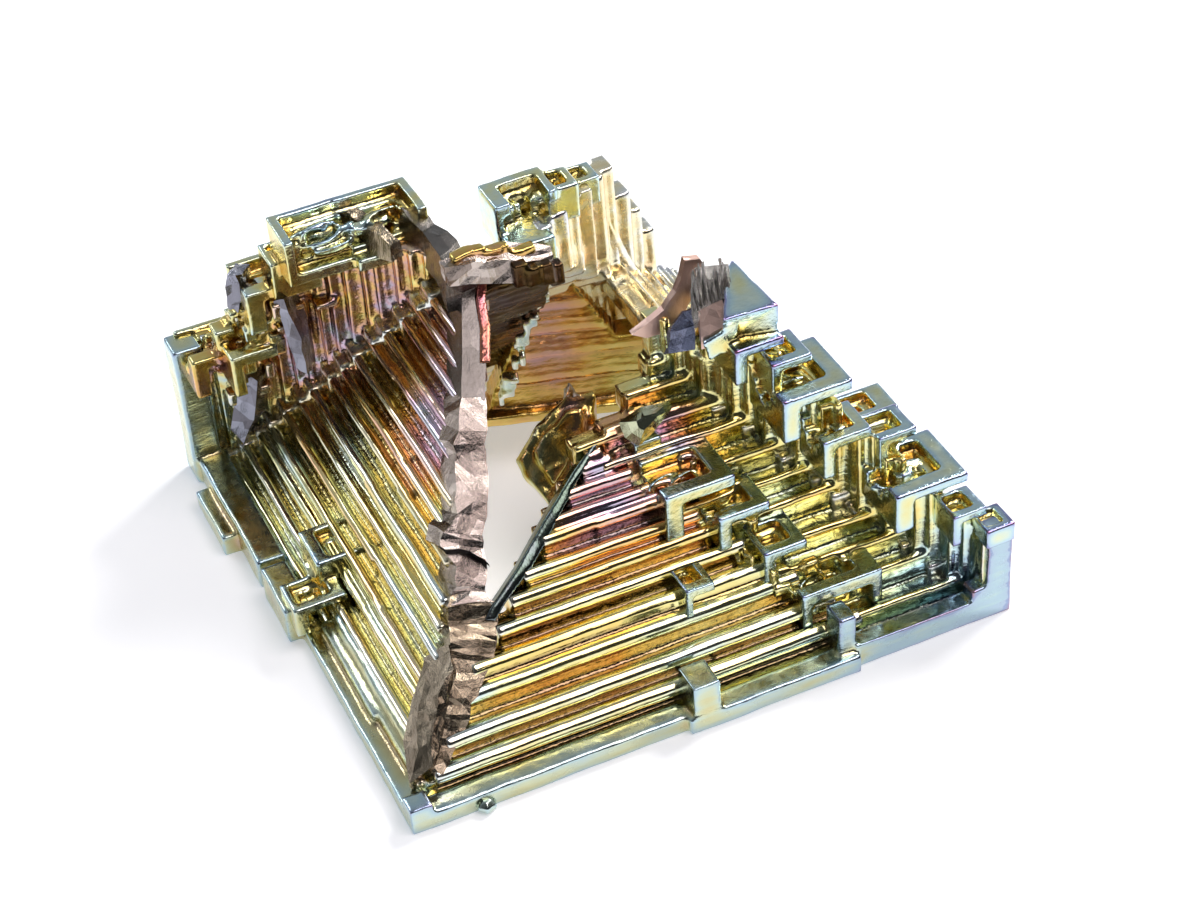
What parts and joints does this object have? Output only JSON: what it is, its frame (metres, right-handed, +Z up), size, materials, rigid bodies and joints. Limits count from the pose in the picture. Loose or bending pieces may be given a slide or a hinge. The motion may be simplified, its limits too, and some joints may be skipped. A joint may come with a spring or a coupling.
{
  "type": "bismuth hopper crystal",
  "caption": "Lab-grown bismuth crystal: the lower half of a hollow stepped cube, its terraced walls leaning in over an open square base.",
  "frame": {"origin": "middle of the crystal's box, on the surface that it rests on", "axes": "+Z up; +X along the front bottom edge to the right; +Y from the front edge to the back"},
  "size_m": [0.0422, 0.0396, 0.0226],
  "materials": {
    "bismuth": "bare bismuth under a thin iridescent oxide film: gold and olive, with rose, violet and pale blue bands, and grey-brown where it broke"
  },
  "bodies": {
    "root": {"bismuth_crystal": "bismuth"}
  },
  "joints": []
}
